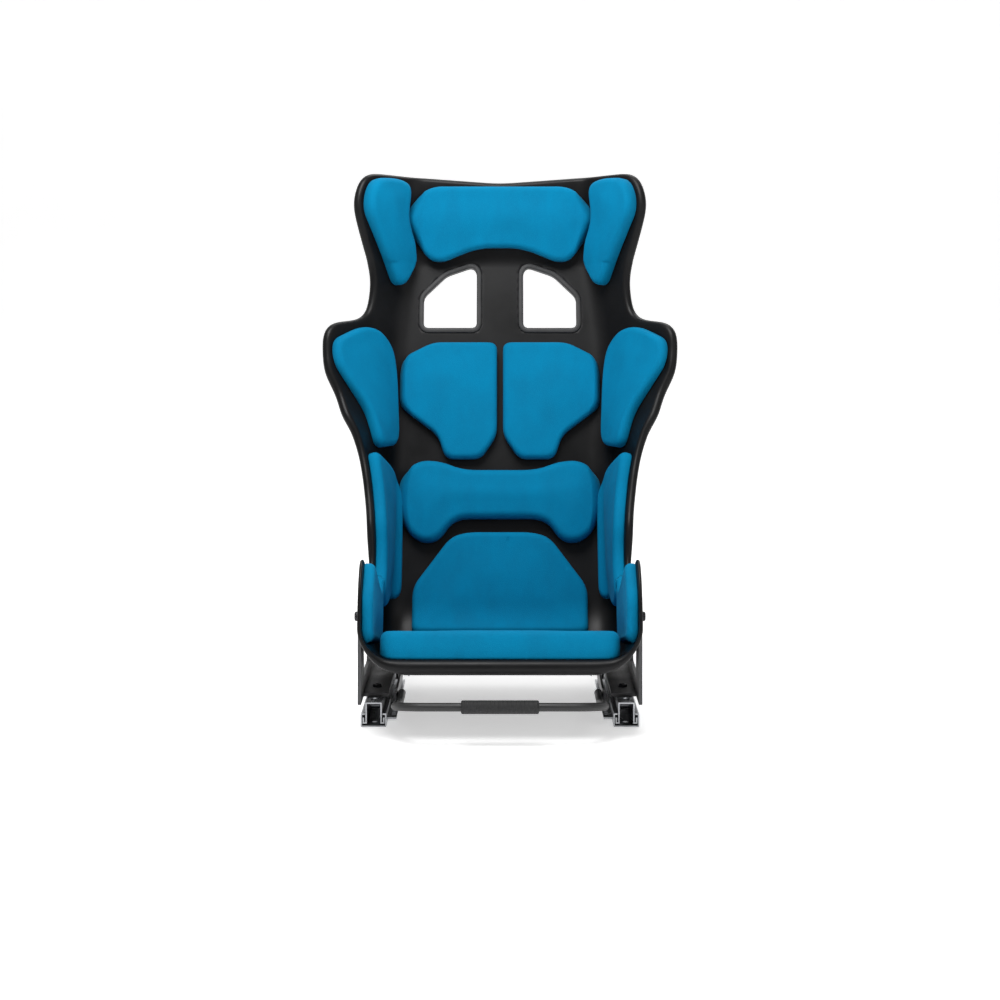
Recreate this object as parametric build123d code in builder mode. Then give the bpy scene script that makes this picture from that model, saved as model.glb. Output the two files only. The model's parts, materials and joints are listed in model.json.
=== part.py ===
from build123d import *
import os
from math import atan2, cos, radians, sin, sqrt, tan

# Fixed-back racing bucket seat on a pair of locking slide rails.
# X is across the seat, the occupant faces -Y, Z is up. The origin is the centre of the four floor bolts,
# on the underside of the lower rails. All sizes are in millimetres.

os.makedirs("parts", exist_ok=True)

# ---- Driving dimensions: seat shell ----
SHOULDER_WIDTH = 600.0      # over the shoulder wings
HEAD_WIDTH = 490.0          # over the head wings
NECK_WIDTH = 426.0          # at the waist between head and shoulder wings
HIP_WIDTH = 396.0           # inside the shell, between the thigh walls
SHELL_WALL = 5.0
SHELL_TOP = 834.0           # tip of the head wings
SHOULDER_BOW = 2.6          # the widest point is on a curve this far inside its corner
THIGH_RISE = 138.0          # thigh walls above the lip
HEAD_DIP = 10.0             # how far the middle of the top edge lies under the tips
SHOULDER_TOP = 586.0        # upper edge of the shoulder wings
SHOULDER_LEVEL = 549.0      # height of the widest point
LIP_Y = -290.0              # front edge of the seat pan
LIP_Z = 120.0
PAN_SLOPE = 12.5            # the pan falls towards the back, degrees
BACK_RECLINE = 16.0         # backrest from upright, degrees
HEAD_RECLINE = 3.0          # head section from upright, degrees
BACK_Y = 250.0              # backrest surface at the fan level
BIGHT_RADIUS = 105.0        # between pan and backrest
HEAD_BEND_Z = 687.0         # where the head section starts

# ---- Driving dimensions: padding ----
PAD_GAP = 0.5               # foam to shell
BACK_FOAM = 26.0
LUMBAR_FOAM = 34.0
HEAD_FOAM = 30.0
WING_FOAM = 22.0
THIGH_FOAM = 19.0
CUSHION_FOAM = 40.0
BOLSTER_FRONT_Y = -22.0     # where the side bolsters meet the thigh pads
CUSHION_BACK_Y = 74.0
PAD_SPACING = 5.0           # between the cushion and the pad behind it
RIM_TUCK = 9.0              # foam stops this far short of the shell's edge

# ---- Driving dimensions: harness openings ----
SLOT_INNER = 40.0           # inner edge of each shoulder opening, from the middle
SLOT_OUTER = 131.0
SLOT_TOP = 678.0
SLOT_BOTTOM = 574.0
LAP_FRONT = 62.0            # the lap openings are in the side walls: Y, then Z
LAP_BACK = 98.0
LAP_LOW = 104.0
LAP_HIGH = 134.0
BEZEL_LIP = 5.0             # flange around an opening
BEZEL_RISE = 2.6            # flange above the shell
BEZEL_WALL = 2.5
FIT = 0.3                   # between a bezel and the shell

# ---- Driving dimensions: side brackets and their bolts ----
BRACKET_THICKNESS = 5.0
FLANGE_WIDTH = 42.0
LOBE = 20.0                 # bracket material around a seat bolt
HOLE_STEP = 15.0            # between the height holes of a bracket
FRONT_BOLT = (-185.0, 162.0)    # Y, Z
REAR_BOLT = (30.0, 118.0)
BOLT_RADIUS = 4.0
BOLT_HOLE_RADIUS = 4.2
BOLT_HEAD_RADIUS = 7.0
BOLT_HEAD_HEIGHT = 4.4
WASHER_RADIUS = 8.0
WASHER_THICKNESS = 1.6
INSERT_RADIUS = 5.5
INSERT_FLANGE_RADIUS = 10.0
INSERT_FLANGE = 1.5
INSERT_SEAT = 0.2           # film of glue under an insert's flange
NUT_FLATS = 13.0
NUT_HEIGHT = 6.5

# ---- Driving dimensions: slide rails and latch ----
RAIL_GAUGE = 372.0          # between the rail centres
RAIL_LENGTH = 380.0
RAIL_WIDTH = 38.0
RAIL_SHEET = 2.0
LOWER_RAIL_HEIGHT = 20.0
RAIL_STACK = 36.0           # floor to the top of the upper rail
RAIL_MOUTH = 26.0           # slot along the top of the lower rail
UPPER_RAIL_WIDTH = 24.0
UPPER_FOOT_REACH = 4.0
UPPER_FOOT_Z = 5.0
UPPER_FOOT_TOP = 14.0
RUNNING_GAP = 0.1           # glide shoe to lower rail
SHOE_LENGTH = 36.0
SHOE_SPREAD = 250.0         # between front and rear shoes
FLOOR_BOLT_SPREAD = 330.0
RAIL_BOLT_SPREAD = 210.0
TRAVEL = 90.0               # each way from the middle
STOP_RADIUS = 4.0
STOP_HEIGHT = 12.0
RACK_WIDTH = 14.0
RACK_SHEET = 3.0
RACK_Z = 9.0
RACK_LENGTH = 260.0
RACK_PITCH = 10.0
RACK_SLOT = 6.0
TOOTH_WIDTH = 4.2
TEETH = 4
FIRST_TOOTH = 3             # rack pitches in front of the middle
TOOTH_ROOT = 5.0            # how far a tooth runs up into the lever
LEVER_SHEET = 3.5
LEVER_PIVOT = (62.0, 28.0)  # Y, Z
LEVER_TIP_Y = -118.0
TAB_SHEET = 3.0
PIN_RADIUS = 4.0
PIN_PLAY = 0.05
BAR_RADIUS = 6.0
BAR_Y = -306.0              # front of the release bar
BAR_Z = 56.0
BAR_CORNER = 42.0
GRIP_LENGTH = 110.0
GRIP_RADIUS = 9.5
SPRING_WIRE = 1.4
SPRING_PITCH = 1.7
SPRING_ROOM = 9.0           # between the lever and the pin's head
EYE_RADIUS = 11.0
ACCESS_RADIUS = 7.5         # holes in the upper rail to reach the floor bolts

# The section planes of the pan, the bight and the lower back all pass through one crosswise axis, the fan
# axis. Above it the section planes are level.
FAN_Y = LIP_Y
FAN_Z = 512.0

pan_fall = tan(radians(PAN_SLOPE))
back_lean = tan(radians(BACK_RECLINE))
head_lean = tan(radians(HEAD_RECLINE))

# Where the straight pan and the straight backrest would meet, and the centre of the bight between them.
corner_y = (BACK_Y + (LIP_Z + pan_fall * LIP_Y - FAN_Z) * back_lean) / (1 + pan_fall * back_lean)
corner_z = LIP_Z - pan_fall * (corner_y - LIP_Y)
bight_turn = radians(90 + PAN_SLOPE - BACK_RECLINE)
bight_tangent = BIGHT_RADIUS * tan(bight_turn / 2)
pan_end_y = corner_y - bight_tangent * cos(radians(PAN_SLOPE))
pan_end_z = corner_z + bight_tangent * sin(radians(PAN_SLOPE))
bight_y = pan_end_y + BIGHT_RADIUS * sin(radians(PAN_SLOPE))
bight_z = pan_end_z + BIGHT_RADIUS * cos(radians(PAN_SLOPE))
back_start_z = corner_z + bight_tangent * cos(radians(BACK_RECLINE))


def back_surface_y(height):
    """Shell surface in the middle of the backrest and the head section, at a height."""
    if height <= HEAD_BEND_Z:
        return BACK_Y + (height - FAN_Z) * back_lean
    return BACK_Y + (HEAD_BEND_Z - FAN_Z) * back_lean + (height - HEAD_BEND_Z) * head_lean


def fan_hit(angle):
    """Distance from the fan axis to the shell surface, along a ray at an angle back from straight down."""
    step_y, step_z = sin(radians(angle)), -cos(radians(angle))
    pan_run = (FAN_Z - LIP_Z) / (-step_z - pan_fall * step_y) if -step_z > pan_fall * step_y else None
    if pan_run is not None and FAN_Y + pan_run * step_y <= pan_end_y:
        return pan_run
    back_run = (BACK_Y - FAN_Y) / (step_y - step_z * back_lean)
    if FAN_Z + back_run * step_z >= back_start_z:
        return back_run
    along = (bight_y - FAN_Y) * step_y + (bight_z - FAN_Z) * step_z
    apart = (bight_y - FAN_Y) ** 2 + (bight_z - FAN_Z) ** 2 - along**2
    return along + sqrt(BIGHT_RADIUS**2 - apart)


def section_plane(origin_y, origin_z, inward_y, inward_z):
    """Crosswise plane with its local y pointing from the shell surface to the occupant."""
    return Plane(
        origin=(0, origin_y, origin_z), x_dir=(1, 0, 0), z_dir=(0, -inward_z, inward_y)
    )


# Sections of the shell surface. Each has its plane, then, measured in that plane, half the width of the
# flat middle, half the width at the rim and the depth of the rim.
CORNER_RADIUS = 45.0        # between the flat middle and the side walls
shoulder_half = SHOULDER_WIDTH / 2
head_half = HEAD_WIDTH / 2
neck_half = NECK_WIDTH / 2
hip_half = HIP_WIDTH / 2

SECTION_STEP = 6.0          # between sections: degrees below the fan level
RISE_PER_STEP = 48.0        # and millimetres above it


def level(height):
    """Station of a level section."""
    return 90 + (height - FAN_Z) * SECTION_STEP / RISE_PER_STEP


SHAPE = (
    # station, flat half, rim half, rim depth
    (0, hip_half, hip_half, THIGH_RISE - 8),
    (15, hip_half, hip_half, THIGH_RISE + 30),
    (30, hip_half, hip_half, THIGH_RISE + 78),
    (37, hip_half, hip_half, THIGH_RISE + 102),
    (43, hip_half, hip_half, THIGH_RISE + 76),
    (52, hip_half - 4, hip_half + 7, 168),
    (62, hip_half - 10, hip_half + 18, 136),
    (75, hip_half - 20, hip_half + 42, 132),
    (90, shoulder_half - 126, shoulder_half + 4, 150),
    (level(SHOULDER_LEVEL), shoulder_half - 127, shoulder_half + 10, 152),
    (level(SHOULDER_TOP + 16), shoulder_half - 132, shoulder_half, 146),
    (level(HEAD_BEND_Z - 30), neck_half - 53, head_half + 30, 128),
    (level(HEAD_BEND_Z + 25), head_half - 95, head_half + 12, 112),
    (level(SHELL_TOP - 50), head_half - 97, head_half + 6, 102),
    (level(SHELL_TOP + 10), head_half - 97, head_half + 4, 92),
)


def shape_at(station):
    """The three sizes of the section at a station, on smooth curves that don't overshoot the table."""
    index = max(i for i, row in enumerate(SHAPE[:-1]) if row[0] <= station)
    span = SHAPE[index + 1][0] - SHAPE[index][0]
    share = (station - SHAPE[index][0]) / span
    values = []
    for column in (1, 2, 3):
        grades = [
            (after[column] - before[column]) / (after[0] - before[0])
            for before, after in zip(SHAPE, SHAPE[1:])
        ]
        ends = []
        for place in (index, index + 1):
            before, after = grades[max(place - 1, 0)], grades[min(place, len(grades) - 1)]
            ends.append(2 * before * after / (before + after) if before * after > 0 else 0)
        start, finish = SHAPE[index][column], SHAPE[index + 1][column]
        values.append(
            start * (1 + 2 * share) * (1 - share) ** 2
            + finish * share**2 * (3 - 2 * share)
            + span * share * (1 - share) * (ends[0] * (1 - share) - ends[1] * share)
        )
    return values


def sections():
    """Every section plane with its three sizes, from the front lip to the top."""
    last = level(SHELL_TOP + 10)
    count = round(last / SECTION_STEP)
    for number in range(count + 1):
        station = last * number / count
        if station < 90:
            run = fan_hit(station)
            step_y, step_z = sin(radians(station)), -cos(radians(station))
            place = section_plane(FAN_Y + run * step_y, FAN_Z + run * step_z, -step_y, -step_z)
        else:
            height = FAN_Z + (station - 90) * RISE_PER_STEP / SECTION_STEP
            place = section_plane(back_surface_y(height), height, -1, 0)
        yield place, shape_at(station)


def half_section(sizes, rise, tuck=0):
    """Right half of a section curve lying `rise` above the shell surface: its flat end, arc and rim point."""
    flat, rim, depth = sizes
    slope = atan2(depth, rim - flat)
    flat_end = flat - CORNER_RADIUS * tan(slope / 2)
    arc = CORNER_RADIUS - rise
    arc_mid = (flat_end + arc * sin(slope / 2), CORNER_RADIUS - arc * cos(slope / 2))
    arc_end = (flat_end + arc * sin(slope), CORNER_RADIUS - arc * cos(slope))
    rim_point = (rim - rise * sin(slope) - tuck * cos(slope), depth + rise * cos(slope) - tuck * sin(slope))
    return (flat_end, rise), arc_mid, arc_end, rim_point


def layer(low, high, tuck=0):
    """Solid following the whole shell surface, between two heights above it."""
    with BuildPart() as made:
        for place, sizes in sections():
            inner = half_section(sizes, high, tuck)
            outer = half_section(sizes, low, tuck)
            with BuildSketch(place):
                with BuildLine():
                    for flat_end, arc_mid, arc_end, rim_point in (inner, outer):
                        for side in (1, -1):
                            points = [(side * x, y) for x, y in (flat_end, arc_mid, arc_end, rim_point)]
                            ThreePointArc(*points[:3])
                            Line(points[2], points[3])
                        Line(flat_end, (-flat_end[0], flat_end[1]))
                    for side in (1, -1):
                        Line((side * inner[3][0], inner[3][1]), (side * outer[3][0], outer[3][1]))
                make_face()
        loft()
    return made.part


# ---- Shell: the lofted tub, trimmed to its outline from the front and from the side ----
FRONT = Plane.XZ
SIDE = Plane.YZ
REACH = 700.0               # longer than anything it cuts through
SIDES = {"left": -1, "right": 1}

outer_wall = hip_half + SHELL_WALL + FIT
bracket_face = outer_wall + BRACKET_THICKNESS
rail_mid = RAIL_GAUGE / 2
seat_bolts = (FRONT_BOLT, REAR_BOLT)

def save(part, name):
    """Label a finished piece and write its file."""
    part.label = name
    export_step(part, f"parts/{name}.step")


SHOULDER_SLOT = (
    (SLOT_OUTER, SLOT_BOTTOM), (SLOT_OUTER, SLOT_TOP - 52), (SLOT_OUTER - 39, SLOT_TOP - 15),
    (SLOT_INNER + 8, SLOT_TOP), (SLOT_INNER, SLOT_TOP - 8), (SLOT_INNER, SLOT_BOTTOM),
)
LAP_SLOT = ((LAP_FRONT, LAP_LOW), (LAP_FRONT, LAP_HIGH), (LAP_BACK, LAP_HIGH), (LAP_BACK, LAP_LOW))


def front_prism(points, side, grow=0, rounding=8):
    """Rounded outline seen from the front, on one side of the seat, carried right through it."""
    with BuildPart() as made:
        with BuildSketch(FRONT):
            with BuildLine():
                FilletPolyline([(side * x, z) for x, z in points], radius=rounding, close=True)
            make_face()
            if grow:
                offset(amount=grow)
        extrude(amount=REACH, both=True)
    return made.part


def side_prism(points, side, start, rounding, grow=0):
    """Outline seen from the side, carried outwards from a distance off the middle."""
    with BuildPart() as made:
        with BuildSketch(SIDE.offset(side * start)):
            with BuildLine():
                FilletPolyline(points, radius=rounding, close=True)
            make_face()
            if grow:
                offset(amount=grow)
        extrude(amount=side * REACH)
    return made.part


def shoulder_opening(side, grow=0):
    """Way through the backrest for a shoulder strap."""
    return front_prism(SHOULDER_SLOT, side, grow)


def lap_opening(side, grow=0):
    """Way through a side wall for the lap belt."""
    return side_prism(LAP_SLOT, side, hip_half - CORNER_RADIUS, 8, grow)


def behind(y):
    """Everything further back than a distance along Y."""
    with BuildPart() as made:
        with BuildSketch(SIDE):
            with Locations((y, 0)):
                Rectangle(REACH, 2 * REACH, align=(Align.MIN, Align.CENTER))
        extrude(amount=REACH, both=True)
    return made.part


with BuildPart() as seat_shell:
    add(layer(-SHELL_WALL, 0))
    with BuildSketch(FRONT):
        with BuildLine():
            for side in (1, -1):
                Line((0, SHELL_TOP - HEAD_DIP), (side * (head_half - 18), SHELL_TOP))
                FilletPolyline(
                    (side * (head_half - 18), SHELL_TOP),
                    (side * head_half, SHELL_TOP - 48),
                    (side * neck_half, SHOULDER_TOP + 66),
                    (side * (neck_half + 10), SHOULDER_TOP + 4),
                    (side * (shoulder_half - 8), SHOULDER_TOP),
                    (side * (shoulder_half + SHOULDER_BOW), SHOULDER_LEVEL - 10),
                    (side * (shoulder_half - 42), SHOULDER_TOP - 128),
                    (side * (shoulder_half - 57), SHOULDER_TOP - 180),
                    (side * (shoulder_half - 57), 0),
                    radius=(24, 60, 14, 22, 60, 60, 60),
                )
            Line((shoulder_half - 57, 0), (57 - shoulder_half, 0))
        make_face()
    extrude(amount=REACH, both=True, mode=Mode.INTERSECT)
    with BuildSketch(SIDE):
        with BuildLine():
            Spline(
                (LIP_Y - 1, LIP_Z + 14),
                (LIP_Y + 10, LIP_Z + THIGH_RISE - 54),
                (LIP_Y + 75, LIP_Z + THIGH_RISE),
                tangents=((0, 1), (1, 0.05)),
            )
            Polyline(
                (LIP_Y + 75, LIP_Z + THIGH_RISE), (LIP_Y + 75, LIP_Z + 2 * THIGH_RISE),
                (LIP_Y - 1, LIP_Z + 2 * THIGH_RISE), (LIP_Y - 1, LIP_Z + 14),
            )
        make_face()
    extrude(amount=REACH, both=True, mode=Mode.SUBTRACT)
    for side in SIDES.values():
        add(shoulder_opening(side), mode=Mode.SUBTRACT)
        add(lap_opening(side), mode=Mode.SUBTRACT)
    for bolt in seat_bolts:
        with Locations(Plane(origin=(0, *bolt), z_dir=(1, 0, 0))):
            Cylinder(INSERT_RADIUS, 2 * REACH, mode=Mode.SUBTRACT)
save(seat_shell.part, "seat_shell")


# ---- Harness opening bezels: a flange on the shell and a collar through it ----
flange_layer = layer(FIT, BEZEL_RISE)
collar_layer = layer(-SHELL_WALL - BEZEL_RISE, BEZEL_RISE)


def bezel(opening, side):
    """Moulded frame of one harness opening, following the shell's surface."""
    collar = collar_layer & opening(side, -FIT)
    with BuildPart() as made:
        add(flange_layer)
        add(opening(side, BEZEL_LIP), mode=Mode.INTERSECT)
        add(collar)
        add(opening(side, -FIT - BEZEL_WALL), mode=Mode.SUBTRACT)
    return made.part


for kind, opening in (("shoulder", shoulder_opening), ("lap", lap_opening)):
    left_bezel = bezel(opening, SIDES["left"])
    save(left_bezel, f"{kind}_slot_bezel_left")
    save(mirror(left_bezel, about=SIDE, mode=Mode.PRIVATE), f"{kind}_slot_bezel_right")


# ---- Pads: slices of foam that follow the shell ----
foam = {
    depth: layer(PAD_GAP, depth, RIM_TUCK)
    for depth in (BACK_FOAM, LUMBAR_FOAM, HEAD_FOAM, WING_FOAM, THIGH_FOAM, CUSHION_FOAM)
}


def insert_pockets(side):
    """Room in the foam for the flanges of the threaded inserts on one side."""
    with BuildPart() as made:
        for bolt in seat_bolts:
            with Locations(Plane(origin=(side * hip_half, *bolt), z_dir=(side, 0, 0))):
                Cylinder(INSERT_FLANGE_RADIUS + 2, 2 * (INSERT_FLANGE + 1.5))
    return made.part


def pad(name, depth, *prisms, pockets=None):
    """One pad: a foam layer cut to one or more outlines, less any pockets."""
    with BuildPart() as made:
        add(foam[depth])
        for prism in prisms:
            add(prism, mode=Mode.INTERSECT)
        if pockets:
            add(pockets, mode=Mode.SUBTRACT)
    save(made.part, name)


def centre_prism(points, rounding):
    """Outline seen from the front, given by its right half from top to bottom and mirrored."""
    with BuildPart() as made:
        with BuildSketch(FRONT):
            with BuildLine():
                FilletPolyline(points + [(-x, z) for x, z in reversed(points)], radius=rounding, close=True)
            make_face()
        extrude(amount=REACH, both=True)
    return made.part


pad("head_pad", HEAD_FOAM, centre_prism([
    (head_half - 120, SHELL_TOP - 19), (head_half - 92, SHELL_TOP - 74),
    (head_half - 132, SHELL_TOP - 148), (38, SHELL_TOP - 123),
], 12))
pad("lumbar_pad", LUMBAR_FOAM, centre_prism([
    (70, LIP_Z + 217), (120, LIP_Z + 231), (hip_half - 37, LIP_Z + 196),
    (108, LIP_Z + 99), (66, LIP_Z + 134),
], 10))
pad("lower_back_pad", BACK_FOAM, centre_prism([
    (52, LIP_Z + 121), (77, LIP_Z + 114), (hip_half - 54, LIP_Z + 24), (hip_half - 54, LIP_Z - 38),
], 7), behind(CUSHION_BACK_Y + PAD_SPACING))

thigh_floor = LIP_Z + 20
for name, side in SIDES.items():
    pad(f"head_side_pad_{name}", HEAD_FOAM, front_prism([
        (head_half - 92, SHELL_TOP - 17), (head_half - 34, SHELL_TOP - 13), (head_half - 22, SHELL_TOP - 45),
        (neck_half - 38, SHELL_TOP - 184), (neck_half - 74, SHELL_TOP - 146),
        (head_half - 86, SHELL_TOP - 74),
    ], side))
    pad(f"shoulder_pad_{name}", WING_FOAM, front_prism([
        (shoulder_half - 92, SHOULDER_TOP - 15), (shoulder_half - 66, SHOULDER_TOP - 8),
        (shoulder_half - 21, SHOULDER_TOP - 30), (shoulder_half - 25, SHOULDER_TOP - 64),
        (shoulder_half - 76, SHOULDER_TOP - 150), (shoulder_half - 92, SHOULDER_TOP - 206),
        (shoulder_half - 122, SHOULDER_TOP - 206), (shoulder_half - 122, SHOULDER_TOP - 110),
        (shoulder_half - 117, SHOULDER_TOP - 50),
    ], side))
    pad(f"upper_back_pad_{name}", BACK_FOAM, front_prism([
        (5, SHOULDER_TOP - 40), (114, SHOULDER_TOP - 40), (shoulder_half - 134, SHOULDER_TOP - 66),
        (shoulder_half - 129, SHOULDER_TOP - 90), (shoulder_half - 129, SHOULDER_TOP - 144),
        (105, SHOULDER_TOP - 193), (91, SHOULDER_TOP - 232), (32, SHOULDER_TOP - 232),
        (5, SHOULDER_TOP - 193),
    ], side, rounding=6))
    pad(
        f"side_bolster_pad_{name}",
        WING_FOAM,
        front_prism([
            (hip_half - 32, LIP_Z + 189), (hip_half - 6, LIP_Z + 246), (hip_half + 60, LIP_Z + 246),
            (hip_half + 60, LIP_Z + 26), (hip_half - 25, LIP_Z + 23), (hip_half - 37, LIP_Z + 30),
        ], side),
        side_prism([
            (BOLSTER_FRONT_Y - 8, LIP_Z + 32), (BOLSTER_FRONT_Y + 6, LIP_Z + 110),
            (BOLSTER_FRONT_Y + 6, LIP_Z + 250), (REACH, LIP_Z + 250), (REACH, LIP_Z + 23),
            (BOLSTER_FRONT_Y + 20, LIP_Z + 23),
        ], side, hip_half - 60, 8),
        pockets=insert_pockets(side),
    )
    pad(
        f"thigh_pad_{name}",
        THIGH_FOAM,
        side_prism([
            (LIP_Y + 14, thigh_floor - pan_fall * 14), (LIP_Y + 20, LIP_Z + THIGH_RISE - 54),
            (LIP_Y + 76, LIP_Z + THIGH_RISE - 10), (BOLSTER_FRONT_Y - 4, LIP_Z + THIGH_RISE - 10),
            (BOLSTER_FRONT_Y - 24, thigh_floor - pan_fall * (BOLSTER_FRONT_Y - 24 - LIP_Y)),
        ], side, hip_half - THIGH_FOAM - 2, 10),
        pockets=insert_pockets(side),
    )

cushion_top = LIP_Z + CUSHION_FOAM + 2
with BuildPart() as seat_cushion:
    add(foam[CUSHION_FOAM])
    with BuildSketch(SIDE):
        with BuildLine():
            Polyline(
                (LIP_Y, 0), (LIP_Y, cushion_top), (pan_end_y, cushion_top - pan_fall * (pan_end_y - LIP_Y)),
                (CUSHION_BACK_Y, cushion_top + 10 - pan_fall * (pan_end_y - LIP_Y)), (CUSHION_BACK_Y, 0),
                close=True,
            )
        make_face()
    extrude(amount=REACH, both=True, mode=Mode.INTERSECT)
    with BuildSketch(Plane.XY):
        with Locations((0, (LIP_Y + 6 + CUSHION_BACK_Y) / 2)):
            RectangleRounded(2 * (hip_half - THIGH_FOAM - 6), CUSHION_BACK_Y - LIP_Y - 6, 24)
    extrude(amount=REACH, mode=Mode.INTERSECT)
save(seat_cushion.part, "seat_cushion")


def axis_plane(x, y, z, direction):
    """Plane whose normal points along X, one way or the other."""
    return Plane(origin=(x, y, z), z_dir=(direction, 0, 0))


# ---- Side brackets: an upright plate against each side of the shell, with a flange over the rail ----
flange_low = RAIL_STACK
flange_high = RAIL_STACK + BRACKET_THICKNESS
rail_bolt_places = [
    (side * rail_mid, end * RAIL_BOLT_SPREAD / 2) for side in SIDES.values() for end in (-1, 1)
]


def bracket(side):
    """L-shaped bracket: an upright plate with a lobe at each seat bolt and an inward flange."""
    front_y, front_z = FRONT_BOLT
    rear_y, rear_z = REAR_BOLT
    half = RAIL_LENGTH / 2 - 40
    with BuildPart() as made:
        with BuildSketch(SIDE.offset(side * outer_wall)):
            with BuildLine():
                Polyline(
                    (front_y - LOBE, flange_low), (front_y - LOBE, front_z + LOBE),
                    (front_y + LOBE, front_z + LOBE), (front_y + 46, flange_high + 22),
                    (rear_y - 52, flange_high + 22), (rear_y - LOBE, rear_z + LOBE),
                    (rear_y + LOBE, rear_z + LOBE), (rear_y + LOBE + 6, flange_high + 34),
                    (half, flange_high + 18), (half, flange_low),
                    close=True,
                )
            make_face()
            fillet(vertices().filter_by(lambda corner: corner.Z > flange_high), 12)
        extrude(amount=side * BRACKET_THICKNESS)
        with BuildSketch(Plane.XY.offset(flange_low)):
            with Locations((side * bracket_face, 0)):
                Rectangle(FLANGE_WIDTH, 2 * half, align=(Align.MAX if side > 0 else Align.MIN, Align.CENTER))
        extrude(amount=BRACKET_THICKNESS)
        for bolt_y, bolt_z in seat_bolts:
            for step in (-1, 0, 1):
                with Locations(axis_plane(side * outer_wall, bolt_y, bolt_z + step * HOLE_STEP, side)):
                    Cylinder(BOLT_HOLE_RADIUS, 4 * BRACKET_THICKNESS, mode=Mode.SUBTRACT)
        with Locations([(x, y, flange_low) for x, y in rail_bolt_places if x * side > 0]):
            Cylinder(BOLT_HOLE_RADIUS, 4 * BRACKET_THICKNESS, mode=Mode.SUBTRACT)
    return made.part


for name, side in SIDES.items():
    save(bracket(side), f"side_bracket_{name}")


# ---- Fasteners: one node for each kind ----
LOWEST = (Align.CENTER, Align.CENTER, Align.MIN)
sided_bolts = [(side, y, z) for side in SIDES.values() for y, z in seat_bolts]

with BuildPart() as shell_inserts:
    for side, y, z in sided_bolts:
        with Locations(axis_plane(side * (hip_half - INSERT_FLANGE - INSERT_SEAT), y, z, side)):
            Cylinder(INSERT_FLANGE_RADIUS, INSERT_FLANGE, align=LOWEST)
            Cylinder(INSERT_RADIUS, outer_wall - hip_half + INSERT_FLANGE, align=LOWEST)
            Cylinder(
                BOLT_RADIUS, outer_wall - hip_half + INSERT_FLANGE, align=LOWEST, mode=Mode.SUBTRACT
            )
save(shell_inserts.part, "shell_inserts")

with BuildPart() as side_bolt_washers:
    for side, y, z in sided_bolts:
        with Locations(axis_plane(side * bracket_face, y, z, side)):
            Cylinder(WASHER_RADIUS, WASHER_THICKNESS, align=LOWEST)
            Cylinder(BOLT_HOLE_RADIUS, WASHER_THICKNESS, align=LOWEST, mode=Mode.SUBTRACT)
save(side_bolt_washers.part, "side_bolt_washers")


def button_head_bolt(radius, head_radius, head_height, length, hex_flats):
    """Button-head bolt with its head's underside on the local XY plane and its shank pointing down."""
    with BuildPart() as made:
        Cylinder(head_radius, head_height, align=LOWEST)
        fillet(made.edges().filter_by(GeomType.CIRCLE).group_by(Axis.Z)[-1], head_height * 0.6)
        with BuildSketch(Plane.XY.offset(head_height)):
            RegularPolygon(hex_flats / 2, 6, major_radius=False)
        extrude(amount=-head_height * 0.6, mode=Mode.SUBTRACT)
        with Locations((0, 0, -length)):
            Cylinder(radius, length, align=LOWEST)
    return made.part


side_bolt = button_head_bolt(
    BOLT_RADIUS, BOLT_HEAD_RADIUS, BOLT_HEAD_HEIGHT,
    WASHER_THICKNESS + bracket_face - hip_half + INSERT_FLANGE, 5,
)
with BuildPart() as side_bolts:
    for side, y, z in sided_bolts:
        with Locations(axis_plane(side * (bracket_face + WASHER_THICKNESS), y, z, side)):
            add(side_bolt)
save(side_bolts.part, "side_bolts")

rail_bolt = button_head_bolt(
    BOLT_RADIUS, BOLT_HEAD_RADIUS, BOLT_HEAD_HEIGHT, BRACKET_THICKNESS + RAIL_SHEET + NUT_HEIGHT, 5
)
with BuildPart() as rail_bolts:
    with Locations([(x, y, flange_high) for x, y in rail_bolt_places]):
        add(rail_bolt)
save(rail_bolts.part, "rail_bolts")

with BuildPart() as weld_nut:
    with BuildSketch():
        RegularPolygon(NUT_FLATS / 2, 6, major_radius=False)
        Circle(BOLT_RADIUS, mode=Mode.SUBTRACT)
    extrude(amount=NUT_HEIGHT)

with BuildPart() as rail_nuts:
    with Locations([(x, y, RAIL_STACK - RAIL_SHEET - NUT_HEIGHT) for x, y in rail_bolt_places]):
        add(weld_nut.part)
save(rail_nuts.part, "rail_nuts")


# ---- Slide rails: an inverted channel with turned-up feet runs inside a lipped channel ----
ALONG = Plane(origin=(0, RAIL_LENGTH / 2, 0), x_dir=(1, 0, 0), z_dir=(0, -1, 0))


def lower_rail(side):
    """Floor rail: a channel with its lips turned in, four floor bolt holes and a travel stop."""
    wide, mouth = RAIL_WIDTH / 2, RAIL_MOUTH / 2
    with BuildPart() as made:
        with BuildSketch(ALONG):
            with Locations((side * rail_mid, 0)):
                Rectangle(RAIL_WIDTH, LOWER_RAIL_HEIGHT, align=(Align.CENTER, Align.MIN))
            with Locations((side * rail_mid, RAIL_SHEET)):
                Rectangle(
                    RAIL_WIDTH - 2 * RAIL_SHEET, LOWER_RAIL_HEIGHT - 2 * RAIL_SHEET,
                    align=(Align.CENTER, Align.MIN), mode=Mode.SUBTRACT,
                )
                Rectangle(
                    RAIL_MOUTH, LOWER_RAIL_HEIGHT, align=(Align.CENTER, Align.MIN), mode=Mode.SUBTRACT
                )
        extrude(amount=RAIL_LENGTH)
        fillet(
            made.edges().filter_by(Axis.Y).filter_by(
                lambda edge: abs(abs(edge.center().X - side * rail_mid) - wide) < 0.01
            ),
            RAIL_SHEET * 0.75,
        )
        with Locations([(side * rail_mid, end * FLOOR_BOLT_SPREAD / 2, 0) for end in (-1, 1)]):
            Cylinder(BOLT_HOLE_RADIUS, 4 * RAIL_SHEET, mode=Mode.SUBTRACT)
    return made.part


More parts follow.
